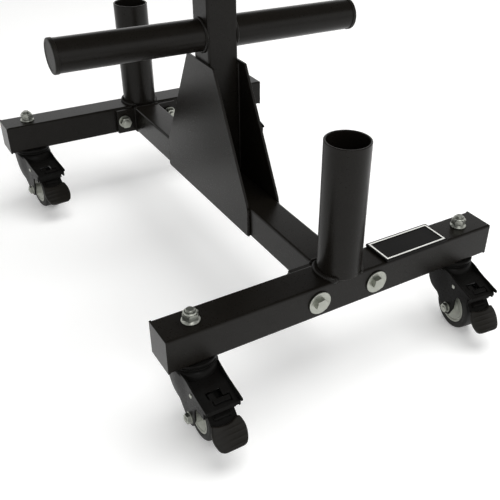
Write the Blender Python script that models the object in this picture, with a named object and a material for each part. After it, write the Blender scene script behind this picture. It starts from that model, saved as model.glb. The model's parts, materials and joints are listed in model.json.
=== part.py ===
"""Mobile plate tree: an H-shaped base on four braked casters, a mast with plate pegs and two bar holders."""
import math

import bmesh
import bpy

# Clearance between solids that touch on the real object, and in moving fits
GAP = 0.0003
FIT = 0.0005

# Square tube of the frame
TUBE = 0.050
TUBE_WALL = 0.003
TUBE_CORNER = 0.004
TUBE_INNER_CORNER = 0.002
CROSS_LENGTH = 0.536
CROSS_SPACING = 0.698
END_PLATE = 0.003
CENTRE_DROP = 0.001

# Bolted flanges at both ends of the centre tube
FLANGE_WIDTH = 0.124
FLANGE_HEIGHT = 0.046
FLANGE_THICKNESS = 0.008
FLANGE_DROP = 0.003
FLANGE_BOLT_SPACING = 0.096

# Mast and its side gussets; the mast rises above the highest pegs
MAST_ABOVE_PEGS = 0.050
CAP_PLATE = 0.004
CAP_PLUG = 0.016
GUSSET_THICKNESS = 0.004
GUSSET_HALF_LENGTH = 0.145
GUSSET_TOP_LENGTH = 0.088
GUSSET_RISE = 0.190
GUSSET_CORNER = 0.015

# Plate pegs; the lowest pair's height is above the base tubes
PEG_DIAMETER = 0.048
PEG_WALL = 0.003
PEG_LEVELS = 3
LOWEST_PEG = 0.228
PEG_SPACING = 0.460
PEG_REACH = 0.244
PEG_CAP_DIAMETER = 0.050
PEG_CAP_LENGTH = 0.007
PEG_CAP_ROUND = 0.0015

# Bar holders and badge plate
HOLDER_DIAMETER = 0.062
HOLDER_WALL = 0.003
HOLDER_HEIGHT = 0.191
BADGE_LENGTH = 0.120
BADGE_WIDTH = 0.050
BADGE_THICKNESS = 0.003
BADGE_START = 0.065
BADGE_BEVEL = 0.001

# Fasteners
BOLT_DIAMETER = 0.012
BOLT_HOLE = 0.013
HEX_FLATS = 0.019
BOLT_HEAD = 0.0075
NUT_HEIGHT = 0.010
NUT_COLLAR = 0.003
NUT_COLLAR_DIAMETER = 0.0168
NUT_COLLAR_TAPER = 0.0008
THREAD_END = 0.003
THREAD_CHAMFER = 0.001
WIDE_WASHER = 0.035
WASHER = 0.024
WASHER_THICKNESS = 0.0025

# Caster places and headings in degrees, as the photograph shows them
STEM_INSET = 0.0445
CASTERS = {
    "front_left": (-1, -1, -0.2),
    "front_right": (1, -1, -6.5),
    "rear_left": (-1, 1, 5.0),
    "rear_right": (1, 1, -4.0),
}

# Caster wheel
WHEEL_DIAMETER = 0.075
TYRE_WIDTH = 0.031
TYRE_SHOULDER = 0.004
RIM_DIAMETER = 0.054
RIM_DISH = 0.004
HUB_DIAMETER = 0.018
HUB_FILLET = 0.002
TRAIL = 0.035
AXLE_DIAMETER = 0.008
AXLE_FLATS = 0.013
AXLE_HEAD = 0.0055
AXLE_END = 0.0015

# Caster swivel head, from the tube's underside down
RACE_DIAMETER = 0.060
RACE_DEPTH = 0.009
RACE_ROUND = 0.003
CROWN_DEPTH = 0.0125
CROWN_FLARE = 0.002
CROWN_EDGE = 0.002
KING_HEAD_DIAMETER = 0.020
KING_HEAD = 0.0035
KING_HEAD_CHAMFER = 0.002

# Caster fork
FORK_WIDTH = 0.051
FORK_SHEET = 0.0025
FORK_REAR = 0.0235
TYRE_HEADROOM = 0.0124
NOSE_ROOM = 0.012
NOSE_SLOPE_START = 0.045
NOSE_FALL = 0.011
NOSE_LIP = 0.008
NOSE_SLANT = 0.001
NOSE_HOOK = 0.005
NOSE_HOOK_DEPTH = 0.004
CHEEK_RISE = 0.004
CHEEK_RISE_START = 0.018
NOTCH_AHEAD = 0.0195
NOTCH_RISE = 0.0324
ARM_AHEAD = 0.016
ARM_RISE = 0.024
ARM_FOOT = 0.006
BOSS_RADIUS = 0.0115
WINDOW_SETBACK = 0.0095
WINDOW_LENGTH = 0.021
WINDOW_WIDTH = 0.025

# Points of the cheeks' rear edge: behind the stem, and below the tube
REAR_EDGE = ((0.0035, 0.058), (0.0105, 0.051), (0.0185, 0.038))

# Brake lever and pedal
PIN_DIAMETER = 0.005
PIN_AHEAD = 0.0085
PIN_BELOW_CROWN = 0.0048
PIN_HEAD_DIAMETER = 0.0065
PIN_HEAD = 0.0012
PIN_HEAD_CHAMFER = 0.001
LEVER_SHEET = 0.0016
LEVER_WIDTH = 0.043
LEVER_EYE = 0.0038
BRIDGE_START = 0.064
BRIDGE_LENGTH = 0.008
BRIDGE_ROOM = 0.0016
SHOE_LENGTH = 0.010
SHOE_WIDTH = 0.008
STRIP_HEIGHT = 0.006
STRIP_SETBACK = 0.0055
STRIP_BELOW_LIP = 0.003
PEDAL_WIDTH = 0.045
PEDAL_LENGTH = 0.037
PEDAL_DEPTH = 0.005
PEDAL_SKIN = 0.0025
PEDAL_SLOPE = 49.0
PEDAL_CORNER = 0.012
PEDAL_TOP_CORNER = 0.010
TONGUE_WIDTH = 0.026
TONGUE_CRANK = 0.0015
TONGUE_CRANK_RUN = 0.0048
PEDAL_ABOVE_STRIP = 0.0019

# Facets round a full circle
HOLDER_SIDES = 40
WHEEL_SIDES = 28
PEG_SIDES = 24
SWIVEL_SIDES = 20
FASTENER_SIDES = 12
CORNER_STEPS = 2
BOSS_STEPS = 6

# Sizes that follow from the ones above
WHEEL_RADIUS = WHEEL_DIAMETER / 2
CROWN_TOP = RACE_DEPTH + FIT
CROWN_FLOOR = CROWN_TOP + CROWN_DEPTH
CROWN_UNDERSIDE = CROWN_FLOOR + FORK_SHEET
AXLE_DROP = CROWN_UNDERSIDE + TYRE_HEADROOM + WHEEL_RADIUS
UNDERSIDE = AXLE_DROP + WHEEL_RADIUS
TUBE_TOP = UNDERSIDE + TUBE
MAST_TOP = TUBE_TOP + LOWEST_PEG + (PEG_LEVELS - 1) * PEG_SPACING + MAST_ABOVE_PEGS
CENTRE_TOP = TUBE_TOP - CENTRE_DROP
FORK_REACH = TRAIL + WHEEL_RADIUS + NOSE_ROOM
PIN_FORWARD = TRAIL + PIN_AHEAD
PIN_DROP = CROWN_UNDERSIDE + PIN_BELOW_CROWN

# Finish of each kind of piece: colour as sRGB hex, metallic, roughness
FINISHES = {
    "powder_coat": ("2b2a28", 0.0, 0.45),
    "zinc": ("c9cbc6", 1.0, 0.30),
    "black_steel": ("1f1f1e", 0.3, 0.32),
    "black_plastic": ("2a2a29", 0.0, 0.50),
    "grey_rim": ("b5b8ac", 0.0, 0.40),
    "tyre": ("2f3030", 0.0, 0.60),
    "badge": ("1c1c1c", 0.0, 0.40),
}


def linear(channel):
    """One sRGB channel from 0 to 1 as scene linear light."""
    if channel <= 0.04045:
        return channel / 12.92
    return ((channel + 0.055) / 1.055) ** 2.4


def make_material(name, finish):
    """A Principled material in one of the named finishes."""
    code, metallic, roughness = FINISHES[finish]
    material = bpy.data.materials.new(name + "_finish")
    material.use_nodes = True
    shader = material.node_tree.nodes["Principled BSDF"]
    colour = [linear(int(code[i:i + 2], 16) / 255) for i in (0, 2, 4)]
    shader.inputs["Base Color"].default_value = (*colour, 1.0)
    shader.inputs["Metallic"].default_value = metallic
    shader.inputs["Roughness"].default_value = roughness
    return material


def place(name, mesh, finish, parent, location=(0, 0, 0), smooth=None):
    """Put a copy of a mesh in the scene as one named sub-part."""
    mesh = mesh.copy()
    mesh.name = name
    mesh.materials.clear()
    mesh.materials.append(make_material(name, finish))
    if smooth is not None:
        mesh.shade_smooth()
        mesh.set_sharp_from_angle(angle=math.radians(smooth))
    piece = bpy.data.objects.new(name, mesh)
    bpy.context.collection.objects.link(piece)
    piece.parent = parent
    piece.location = location
    return piece


def add_pivot(name, parent, location=(0, 0, 0), heading=0.0):
    """An empty on a joint's axis, which carries the pieces that move with it."""
    pivot = bpy.data.objects.new(name, None)
    pivot.empty_display_size = 0.03
    bpy.context.collection.objects.link(pivot)
    pivot.parent = parent
    pivot.location = location
    pivot.rotation_euler = (0, 0, math.radians(heading))
    return pivot


def mesh_from(points, faces):
    """A closed mesh with its faces pointing out."""
    mesh = bpy.data.meshes.new("shape")
    mesh.from_pydata(points, [], faces)
    work = bmesh.new()
    work.from_mesh(mesh)
    bmesh.ops.recalc_face_normals(work, faces=work.faces)
    work.to_mesh(mesh)
    work.free()
    return mesh


def prism(outline, low, high, along="Z"):
    """Extrude a closed outline from low to high along an axis; the outline lies in the other two axes."""
    order = {"X": (2, 0, 1), "Y": (0, 2, 1), "Z": (0, 1, 2)}[along]
    points = []
    for level in (low, high):
        for first, second in outline:
            flat = (first, second, level)
            points.append(tuple(flat[i] for i in order))
    count = len(outline)
    faces = [tuple(range(count)), tuple(range(2 * count - 1, count - 1, -1))]
    for i in range(count):
        j = (i + 1) % count
        faces.append((i, j, count + j, count + i))
    return mesh_from(points, faces)


def box(x, y, z):
    """A block between pairs of lowest and highest x, y and z."""
    outline = [(x[0], y[0]), (x[1], y[0]), (x[1], y[1]), (x[0], y[1])]
    return prism(outline, z[0], z[1])


def section_radius(radius, angle, hexagonal):
    """Distance to a round or hexagonal outline; a hexagon's radius is half its width across flats."""
    if not hexagonal:
        return radius
    sixth = math.pi / 3
    return radius / math.cos((angle % sixth) - sixth / 2)


def turned(stations, sides, along="Z", hollow=False):
    """Rings of (place, radius) along an axis, joined into a solid; "hex" in a station makes it hexagonal."""
    order = {"X": (2, 0, 1), "Y": (0, 2, 1), "Z": (0, 1, 2)}[along]
    points = []
    for station in stations:
        level, radius = station[0], station[1]
        for i in range(sides):
            angle = 2 * math.pi * i / sides
            reach = section_radius(radius, angle, len(station) > 2)
            flat = (reach * math.cos(angle), reach * math.sin(angle), level)
            points.append(tuple(flat[k] for k in order))
    rings = len(stations)
    faces = []
    for ring in range(rings if hollow else rings - 1):
        start, after = ring * sides, ((ring + 1) % rings) * sides
        for i in range(sides):
            j = (i + 1) % sides
            faces.append((start + i, start + j, after + j, after + i))
    if not hollow:
        faces.append(tuple(range(sides)))
        faces.append(tuple(range(rings * sides - 1, (rings - 1) * sides - 1, -1)))
    return mesh_from(points, faces)


def moved(mesh, offset):
    """The same mesh, shifted by an offset."""
    for vertex in mesh.vertices:
        for axis in range(3):
            vertex.co[axis] += offset[axis]
    return mesh


def arc(centre, radius, start, end, steps):
    """Points on an arc, with angles in degrees, both ends included."""
    points = []
    for i in range(steps + 1):
        angle = math.radians(start + (end - start) * i / steps)
        points.append((centre[0] + radius * math.cos(angle), centre[1] + radius * math.sin(angle)))
    return points


def rounded_square(side, radius, centre=(0, 0)):
    """Outline of a square with rounded corners."""
    reach = side / 2 - radius
    outline = []
    for k, (sign_x, sign_y) in enumerate(((1, 1), (-1, 1), (-1, -1), (1, -1))):
        corner = (centre[0] + sign_x * reach, centre[1] + sign_y * reach)
        outline += arc(corner, radius, 90 * k, 90 * k + 90, CORNER_STEPS)
    return outline


def combine(base, others, operation):
    """Join other closed meshes to a base, or cut them from it, with exact booleans."""
    body = bpy.data.objects.new("work", base)
    bpy.context.collection.objects.link(body)
    tools = []
    for mesh in others:
        tool = bpy.data.objects.new("tool", mesh)
        bpy.context.collection.objects.link(tool)
        modifier = body.modifiers.new("step", "BOOLEAN")
        modifier.operation = operation
        modifier.solver = "EXACT"
        modifier.object = tool
        tools.append(tool)
    bpy.context.view_layer.update()
    graph = bpy.context.evaluated_depsgraph_get()
    result = bpy.data.meshes.new_from_object(body.evaluated_get(graph))
    for spent in [body] + tools:
        bpy.data.objects.remove(spent)
    work = bmesh.new()
    work.from_mesh(result)
    bmesh.ops.remove_doubles(work, verts=work.verts, dist=0.000002)
    bmesh.ops.dissolve_limit(work, angle_limit=math.radians(0.5), verts=work.verts, edges=work.edges)
    work.to_mesh(result)
    work.free()
    return result


def drill(radius, low, high, centre, along):
    """A round cutter along an axis, at a centre given in the other two axes' places."""
    shift = {"X": (0, centre[0], centre[1]), "Y": (centre[0], 0, centre[1]), "Z": (centre[0], centre[1], 0)}
    return moved(turned([(low, radius), (high, radius)], FASTENER_SIDES, along), shift[along])


def stem_places():
    """The stems' places along a cross tube."""
    return [sign * (CROSS_LENGTH / 2 - STEM_INSET) for sign in (-1, 1)]


def flange_bolt_places():
    """The flange bolts' places along a cross tube."""
    return [sign * FLANGE_BOLT_SPACING / 2 for sign in (-1, 1)]


def make_cross_tube():
    """Square tube along X with welded end plates, open through its stem and flange bolt holes."""
    half = CROSS_LENGTH / 2
    bore_half = half - END_PLATE
    body = prism(rounded_square(TUBE, TUBE_CORNER), -half + END_PLATE / 2, half - END_PLATE / 2, "X")
    edge = TUBE / 2
    plates = []
    for low in (-half, half - END_PLATE):
        plates.append(box((low, low + END_PLATE), (-edge, edge), (-edge, edge)))
    body = combine(body, plates, "UNION")
    bore = TUBE - 2 * TUBE_WALL
    cutters = [prism(rounded_square(bore, TUBE_INNER_CORNER), -bore_half, bore_half, "X")]
    for x in stem_places():
        cutters.append(drill(BOLT_HOLE / 2, -TUBE, TUBE, (x, 0), "Z"))
    for x in flange_bolt_places():
        cutters.append(drill(BOLT_HOLE / 2, -TUBE, TUBE, (x, 0), "Y"))
    return combine(body, cutters, "DIFFERENCE")


def make_centre_tube(half_length):
    """Open square tube along Y."""
    body = prism(rounded_square(TUBE, TUBE_CORNER), -half_length, half_length, "Y")
    inner = rounded_square(TUBE - 2 * TUBE_WALL, TUBE_INNER_CORNER)
    bore = prism(inner, -TUBE - half_length, TUBE + half_length, "Y")
    return combine(body, [bore], "DIFFERENCE")


def make_flange():
    """Flat plate with two bolt holes, centred on the bolts' axis height."""
    top = TUBE / 2 - FLANGE_DROP
    half = FLANGE_THICKNESS / 2
    body = box((-FLANGE_WIDTH / 2, FLANGE_WIDTH / 2), (-half, half), (top - FLANGE_HEIGHT, top))
    holes = [drill(BOLT_HOLE / 2, -TUBE, TUBE, (x, 0), "Y") for x in flange_bolt_places()]
    return combine(body, holes, "DIFFERENCE")


def make_gusset():
    """Side plate from the centre tube's underside, sloping up beside the mast; it stands on Z 0."""
    low = GUSSET_HALF_LENGTH
    high = GUSSET_TOP_LENGTH / 2
    shoulder = TUBE
    peak = TUBE + GUSSET_RISE
    slope = math.degrees(math.atan2(peak - shoulder, low - high))
    setback = GUSSET_CORNER * math.tan(math.radians((90 - slope) / 2))
    centre = (low - GUSSET_CORNER, shoulder - setback)
    outline = [(low, 0)] + arc(centre, GUSSET_CORNER, 0, 90 - slope, CORNER_STEPS) + [(high, peak)]
    mirrored = [(-y, z) for y, z in reversed(outline)]
    return prism(outline + mirrored, -GUSSET_THICKNESS / 2, GUSSET_THICKNESS / 2, "X")


def make_mast(low, high):
    """Open square tube along Z."""
    body = prism(rounded_square(TUBE, TUBE_CORNER), low, high)
    inner = rounded_square(TUBE - 2 * TUBE_WALL, TUBE_INNER_CORNER)
    bore = prism(inner, low - TUBE, high + TUBE)
    return combine(body, [bore], "DIFFERENCE")


def make_mast_cap():
    """Moulded cap: a plate over the mast's mouth and a plug inside it; Z 0 is the mouth."""
    plate = prism(rounded_square(TUBE, TUBE_CORNER), GAP, CAP_PLATE)
    plug_side = TUBE - 2 * TUBE_WALL - 2 * FIT
    plug = prism(rounded_square(plug_side, TUBE_INNER_CORNER), -CAP_PLUG, CAP_PLATE / 2)
    return combine(plate, [plug], "UNION")


def make_pipe(diameter, wall, low, high, sides, along):
    """Round open tube along an axis."""
    outer = diameter / 2
    inner = outer - wall
    return turned([(low, inner), (low, outer), (high, outer), (high, inner)], sides, along, hollow=True)


def make_peg_cap():
    """Round end cap along X with a plug in the peg; X 0 is the peg's mouth."""
    outer = PEG_CAP_DIAMETER / 2
    plug = PEG_DIAMETER / 2 - PEG_WALL - FIT
    stations = [
        (-CAP_PLUG, plug),
        (GAP, plug),
        (GAP, outer),
        (PEG_CAP_LENGTH - PEG_CAP_ROUND, outer),
        (PEG_CAP_LENGTH, outer - PEG_CAP_ROUND),
    ]
    return turned(stations, PEG_SIDES, "X")


def make_badge():
    """Blank name plate with bevelled top edges, standing on Z 0."""
    half_x, half_y = BADGE_LENGTH / 2, BADGE_WIDTH / 2
    rings = [(0, 0), (BADGE_THICKNESS - BADGE_BEVEL, 0), (BADGE_THICKNESS, BADGE_BEVEL)]
    points = []
    for level, inset in rings:
        for sign_x, sign_y in ((-1, -1), (1, -1), (1, 1), (-1, 1)):
            points.append((sign_x * (half_x - inset), sign_y * (half_y - inset), level))
    faces = [(0, 1, 2, 3), (8, 9, 10, 11)]
    for ring in (0, 4):
        for i in range(4):
            j = (i + 1) % 4
            faces.append((ring + i, ring + j, ring + 4 + j, ring + 4 + i))
    return mesh_from(points, faces)


def make_flange_bolt():
    """Bolt along Y with both washers and its nut; Y 0 is the face under the wide washer."""
    grip = TUBE + GAP + FLANGE_THICKNESS
    shank = BOLT_DIAMETER / 2
    hexagon = HEX_FLATS / 2
    head_face = -GAP - WASHER_THICKNESS
    nut_face = grip + GAP + WASHER_THICKNESS
    nut_end = nut_face + NUT_HEIGHT
    stations = [
        (head_face - BOLT_HEAD, hexagon, "hex"),
        (head_face, hexagon, "hex"),
        (head_face, WIDE_WASHER / 2),
        (-GAP, WIDE_WASHER / 2),
        (-GAP, shank),
        (grip + GAP, shank),
        (grip + GAP, WASHER / 2),
        (nut_face, WASHER / 2),
        (nut_face, hexagon, "hex"),
        (nut_end, hexagon, "hex"),
        (nut_end, shank),
        (nut_end + THREAD_END, shank),
    ]
    return turned(stations, FASTENER_SIDES, "Y")


def make_stem_nut():
    """Lock nut with its collar and washer round the stem, standing on Z 0."""
    bore = BOLT_DIAMETER / 2 + GAP
    hexagon = HEX_FLATS / 2
    shoulder = GAP + WASHER_THICKNESS
    top = shoulder + NUT_HEIGHT
    stations = [
        (GAP, bore),
        (GAP, WASHER / 2),
        (shoulder, WASHER / 2),
        (shoulder, hexagon, "hex"),
        (top, hexagon, "hex"),
        (top, NUT_COLLAR_DIAMETER / 2),
        (top + NUT_COLLAR, NUT_COLLAR_DIAMETER / 2 - NUT_COLLAR_TAPER),
        (top + NUT_COLLAR, bore),
    ]
    return turned(stations, FASTENER_SIDES, "Z", hollow=True)


def make_caster_stem():
    """Threaded stem, fixed upper race and riveted king pin; Z 0 is the tube's underside."""
    race = RACE_DIAMETER / 2
    pin = BOLT_DIAMETER / 2
    top = TUBE + WASHER_THICKNESS + NUT_HEIGHT + NUT_COLLAR + THREAD_END
    head_top = -CROWN_UNDERSIDE - FIT
    stations = [
        (top, pin - THREAD_CHAMFER),
        (top - THREAD_CHAMFER, pin),
        (-GAP, pin),
        (-GAP, race - RACE_ROUND),
        (-GAP - RACE_ROUND, race),
        (-RACE_DEPTH + RACE_ROUND, race),
        (-RACE_DEPTH, race - RACE_ROUND),
        (-RACE_DEPTH, pin),
        (head_top, pin),
        (head_top, KING_HEAD_DIAMETER / 2),
        (head_top - KING_HEAD, KING_HEAD_DIAMETER / 2 - KING_HEAD_CHAMFER),
    ]
    return turned(stations, SWIVEL_SIDES)


def fork_crown():
    """Lower race and flared crown round the king pin; Z 0 is the tube's underside."""
    race = RACE_DIAMETER / 2
    bore = BOLT_DIAMETER / 2 + FIT
    stations = [
        (-CROWN_TOP, bore),
        (-CROWN_TOP, race - RACE_ROUND),
        (-CROWN_TOP - RACE_ROUND, race),
        (-CROWN_FLOOR + RACE_ROUND, race),
        (-CROWN_FLOOR, race + CROWN_FLARE),
        (-CROWN_FLOOR - CROWN_EDGE, race + CROWN_FLARE),
        (-CROWN_FLOOR - CROWN_EDGE, bore),
    ]
    return turned(stations, SWIVEL_SIDES, hollow=True)


def fork_cheek_outline():
    """Side plate's outline as (y, z), nose towards -Y, with Z 0 at the tube's underside."""
    nose_top = -CROWN_FLOOR - NOSE_FALL + 2 * CHEEK_RISE
    nose_low = -CROWN_FLOOR - NOSE_FALL - NOSE_LIP
    outline = [(FORK_REAR, -CROWN_FLOOR), (-CHEEK_RISE_START, -CROWN_FLOOR + CHEEK_RISE)]
    outline += [(-FORK_REACH, nose_top), (-FORK_REACH, nose_top - NOSE_HOOK_DEPTH)]
    front = -FORK_REACH + NOSE_HOOK + FORK_SHEET / 2
    outline += [(front, nose_top - NOSE_HOOK_DEPTH), (front, nose_low)]
    outline += [(-TRAIL - NOTCH_AHEAD, -AXLE_DROP + NOTCH_RISE), (-TRAIL - ARM_AHEAD, -AXLE_DROP + ARM_RISE)]
    outline += [(-TRAIL - ARM_AHEAD, -AXLE_DROP + ARM_FOOT)]
    lowest = (REAR_EDGE[0][0] + TRAIL, AXLE_DROP - REAR_EDGE[0][1])
    tangent = math.degrees(math.atan2(lowest[1], lowest[0]) - math.acos(BOSS_RADIUS / math.hypot(*lowest)))
    outline += arc((-TRAIL, -AXLE_DROP), BOSS_RADIUS, 225, 360 + tangent, BOSS_STEPS)
    return outline + [(behind, -below) for behind, below in REAR_EDGE]


def fork_web_outline():
    """The pressed top's outline as (y, z): flat under the crown, then sloping to a turned-down lip."""
    top = -CROWN_FLOOR
    nose = -FORK_REACH + NOSE_HOOK
    low = top - NOSE_FALL
    sheet = FORK_SHEET
    upper = [(FORK_REAR, top), (-NOSE_SLOPE_START, top), (nose, low), (nose - NOSE_SLANT, low - NOSE_LIP)]
    lower = [(nose - NOSE_SLANT + sheet, low - NOSE_LIP), (nose + sheet, low - sheet)]
    lower += [(-NOSE_SLOPE_START, top - sheet)]
    return upper + lower + [(FORK_REAR, top - sheet)]


def make_fork():
    """Pressed fork: crown, top plate with its window, two cheeks with axle and pin holes."""
    half = FORK_WIDTH / 2
    inner = half - FORK_SHEET
    overlap = FORK_SHEET / 2
    web = prism(fork_web_outline(), -inner - overlap, inner + overlap, "X")
    cheeks = [prism(fork_cheek_outline(), low, low + FORK_SHEET, "X") for low in (-half, inner)]
    body = combine(web, cheeks + [fork_crown()], "UNION")
    window_start = NOSE_SLOPE_START + WINDOW_SETBACK
    cutters = [
        drill(BOLT_DIAMETER / 2 + FIT, -UNDERSIDE, UNDERSIDE, (0, 0), "Z"),
        drill(AXLE_DIAMETER / 2 + GAP, -FORK_WIDTH, FORK_WIDTH, (-TRAIL, -AXLE_DROP), "X"),
        drill(PIN_DIAMETER / 2 + FIT, -FORK_WIDTH, FORK_WIDTH, (-PIN_FORWARD, -PIN_DROP), "X"),
        box((-WINDOW_WIDTH / 2, WINDOW_WIDTH / 2), (-window_start - WINDOW_LENGTH, -window_start),
            (-CROWN_FLOOR - 2 * NOSE_FALL, -CROWN_FLOOR + NOSE_FALL)),
    ]
    return combine(body, cutters, "DIFFERENCE")


def make_rim():
    """Wheel rim along X with a dished web and its hub."""
    half = TYRE_WIDTH / 2 - FIT
    outer = RIM_DIAMETER / 2
    hub = HUB_DIAMETER / 2
    hub_half = FORK_WIDTH / 2 - FORK_SHEET - FIT
    bore = AXLE_DIAMETER / 2 + GAP
    stations = [
        (-hub_half, bore),
        (-hub_half, hub),
        (-half + RIM_DISH, hub + HUB_FILLET),
        (-half, outer - RIM_DISH),
        (-half, outer),
    ]
    mirrored = [(-level, radius) for level, radius in reversed(stations)]
    return turned(stations + mirrored, WHEEL_SIDES, "X", hollow=True)


def make_tyre():
    """Tyre along X with rounded shoulders, moulded round the rim."""
    half = TYRE_WIDTH / 2
    inner = RIM_DIAMETER / 2 + GAP
    shoulder = TYRE_SHOULDER
    corner = (-half + shoulder, WHEEL_RADIUS - shoulder)
    stations = [(-half, inner)] + arc(corner, shoulder, 180, 90, CORNER_STEPS)
    mirrored = [(-level, radius) for level, radius in reversed(stations)]
    return turned(stations + mirrored, WHEEL_SIDES, "X", hollow=True)


def make_axle():
    """Axle bolt along X with its head at one cheek and its nut at the other."""
    cheek = FORK_WIDTH / 2 + GAP
    shank = AXLE_DIAMETER / 2
    hexagon = AXLE_FLATS / 2
    stations = [
        (-cheek - AXLE_HEAD - AXLE_END, shank),
        (-cheek - AXLE_HEAD, shank),
        (-cheek - AXLE_HEAD, hexagon, "hex"),
        (-cheek, hexagon, "hex"),
        (-cheek, shank),
        (cheek, shank),
        (cheek, hexagon, "hex"),
        (cheek + AXLE_HEAD, hexagon, "hex"),
    ]
    return turned(stations, FASTENER_SIDES, "X")


def pedal_point(along, inward):
    """A (y, z) point measured down the pedal's face and in from it, from the pin's axis."""
    slope = math.radians(PEDAL_SLOPE)
    strip_low = CROWN_FLOOR + NOSE_FALL + NOSE_LIP + STRIP_BELOW_LIP + STRIP_HEIGHT
    top = (-FORK_REACH, -strip_low + PEDAL_ABOVE_STRIP)
    y = top[0] - along * math.cos(slope) + inward * math.sin(slope)
    z = top[1] - along * math.sin(slope) - inward * math.cos(slope)
    return (y + PIN_FORWARD, z + PIN_DROP)


def make_pedal():
    """Hollow moulded pedal over the lever's tongue, with round corners; the origin is the pin's axis."""
    half = PEDAL_WIDTH / 2
    top, low = PEDAL_TOP_CORNER, PEDAL_CORNER
    outline = arc((-half + top, top), top, 270, 180, CORNER_STEPS)
    outline += arc((-half + low, PEDAL_LENGTH - low), low, 180, 90, 2 * CORNER_STEPS)
    outline += arc((half - low, PEDAL_LENGTH - low), low, 90, 0, 2 * CORNER_STEPS)
    outline += arc((half - top, top), top, 0, -90, CORNER_STEPS)
    count = len(outline)
    points = []
    for inward in (0, PEDAL_DEPTH):
        for x, along in outline:
            points.append((x, *pedal_point(along, inward)))
    faces = [tuple(range(count)), tuple(range(2 * count - 1, count - 1, -1))]
    for i in range(count):
        j = (i + 1) % count
        faces.append((i, j, count + j, count + i))
    body = mesh_from(points, faces)
    skin = PEDAL_SKIN
    reach = PEDAL_LENGTH - low / 2 - skin
    pocket = [pedal_point(-skin, skin), pedal_point(reach, skin)]
    pocket += [pedal_point(reach, 2 * PEDAL_DEPTH), pedal_point(-skin, 2 * PEDAL_DEPTH)]
    hollow = prism(pocket, -half + skin, half - skin, "X")
    return combine(body, [hollow], "DIFFERENCE")


def bridge_point(forward, below):
    """A (y, z) point under the fork's sloping top and its gap, measured from the pin's axis."""
    fall = NOSE_FALL / (FORK_REACH - NOSE_HOOK - NOSE_SLOPE_START)
    drop = CROWN_UNDERSIDE + BRIDGE_ROOM + fall * (forward - NOSE_SLOPE_START) + below
    return (PIN_FORWARD - forward, PIN_DROP - drop)


def make_lever():
    """Pressed brake lever: cheeks on the pin, bridge with its shoe, cross strip and cranked tongue."""
    half = LEVER_WIDTH / 2
    sheet = LEVER_SHEET
    strip_y = PIN_FORWARD - FORK_REACH + STRIP_SETBACK
    strip_top = PIN_DROP - CROWN_FLOOR - NOSE_FALL - NOSE_LIP - STRIP_BELOW_LIP
    strip_low = strip_top - STRIP_HEIGHT
    front, rear = strip_y - sheet / 2, strip_y + sheet / 2
    bridge_end = BRIDGE_START + BRIDGE_LENGTH
    cheek = arc((0, 0), LEVER_EYE, 0, 90, BOSS_STEPS)
    cheek += [bridge_point(BRIDGE_START, 0), bridge_point(bridge_end, 0)]
    cheek += [(front, strip_top), (front, strip_low)]
    cheek += arc((0, 0), LEVER_EYE, 270, 345, BOSS_STEPS)
    cheeks = [prism(cheek, low, low + sheet, "X") for low in (-half, half - sheet)]
    strip = box((-half + sheet / 2, half - sheet / 2), (front, rear), (strip_low, strip_top))
    plate = [bridge_point(BRIDGE_START, 0), bridge_point(bridge_end, 0)]
    plate += [bridge_point(bridge_end, sheet), bridge_point(BRIDGE_START, sheet)]
    bridge = prism(plate, -half + sheet / 2, half - sheet / 2, "X")
    shoe_start = BRIDGE_START - SHOE_LENGTH
    shoe_end = BRIDGE_START + BRIDGE_LENGTH / 2
    plate = [bridge_point(shoe_start, 0), bridge_point(shoe_end, 0)]
    plate += [bridge_point(shoe_end, sheet), bridge_point(shoe_start, sheet)]
    shoe = prism(plate, -SHOE_WIDTH, 0, "X")
    depth = PEDAL_SKIN + GAP
    end = PEDAL_LENGTH - PEDAL_CORNER / 2 - PEDAL_SKIN - GAP
    run = TONGUE_CRANK_RUN
    outline = [(front, strip_low + sheet), pedal_point(0, depth + TONGUE_CRANK), pedal_point(run, depth)]
    outline += [pedal_point(end, depth), pedal_point(end, depth + sheet), pedal_point(run, depth + sheet)]
    outline += [pedal_point(0, depth + TONGUE_CRANK + sheet), (rear, strip_low)]
    tongue = prism(outline, -TONGUE_WIDTH / 2, TONGUE_WIDTH / 2, "X")
    cheek_out = FORK_WIDTH / 2 + GAP
    pin, head = PIN_DIAMETER / 2, PIN_HEAD_DIAMETER / 2
    rivet = turned([
        (-cheek_out - PIN_HEAD, head - PIN_HEAD_CHAMFER),
        (-cheek_out, head),
        (-cheek_out, pin),
        (cheek_out, pin),
        (cheek_out, head),
        (cheek_out + PIN_HEAD, head - PIN_HEAD_CHAMFER),
    ], FASTENER_SIDES, "X")
    return combine(strip, cheeks + [bridge, shoe, tongue, rivet], "UNION")


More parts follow.
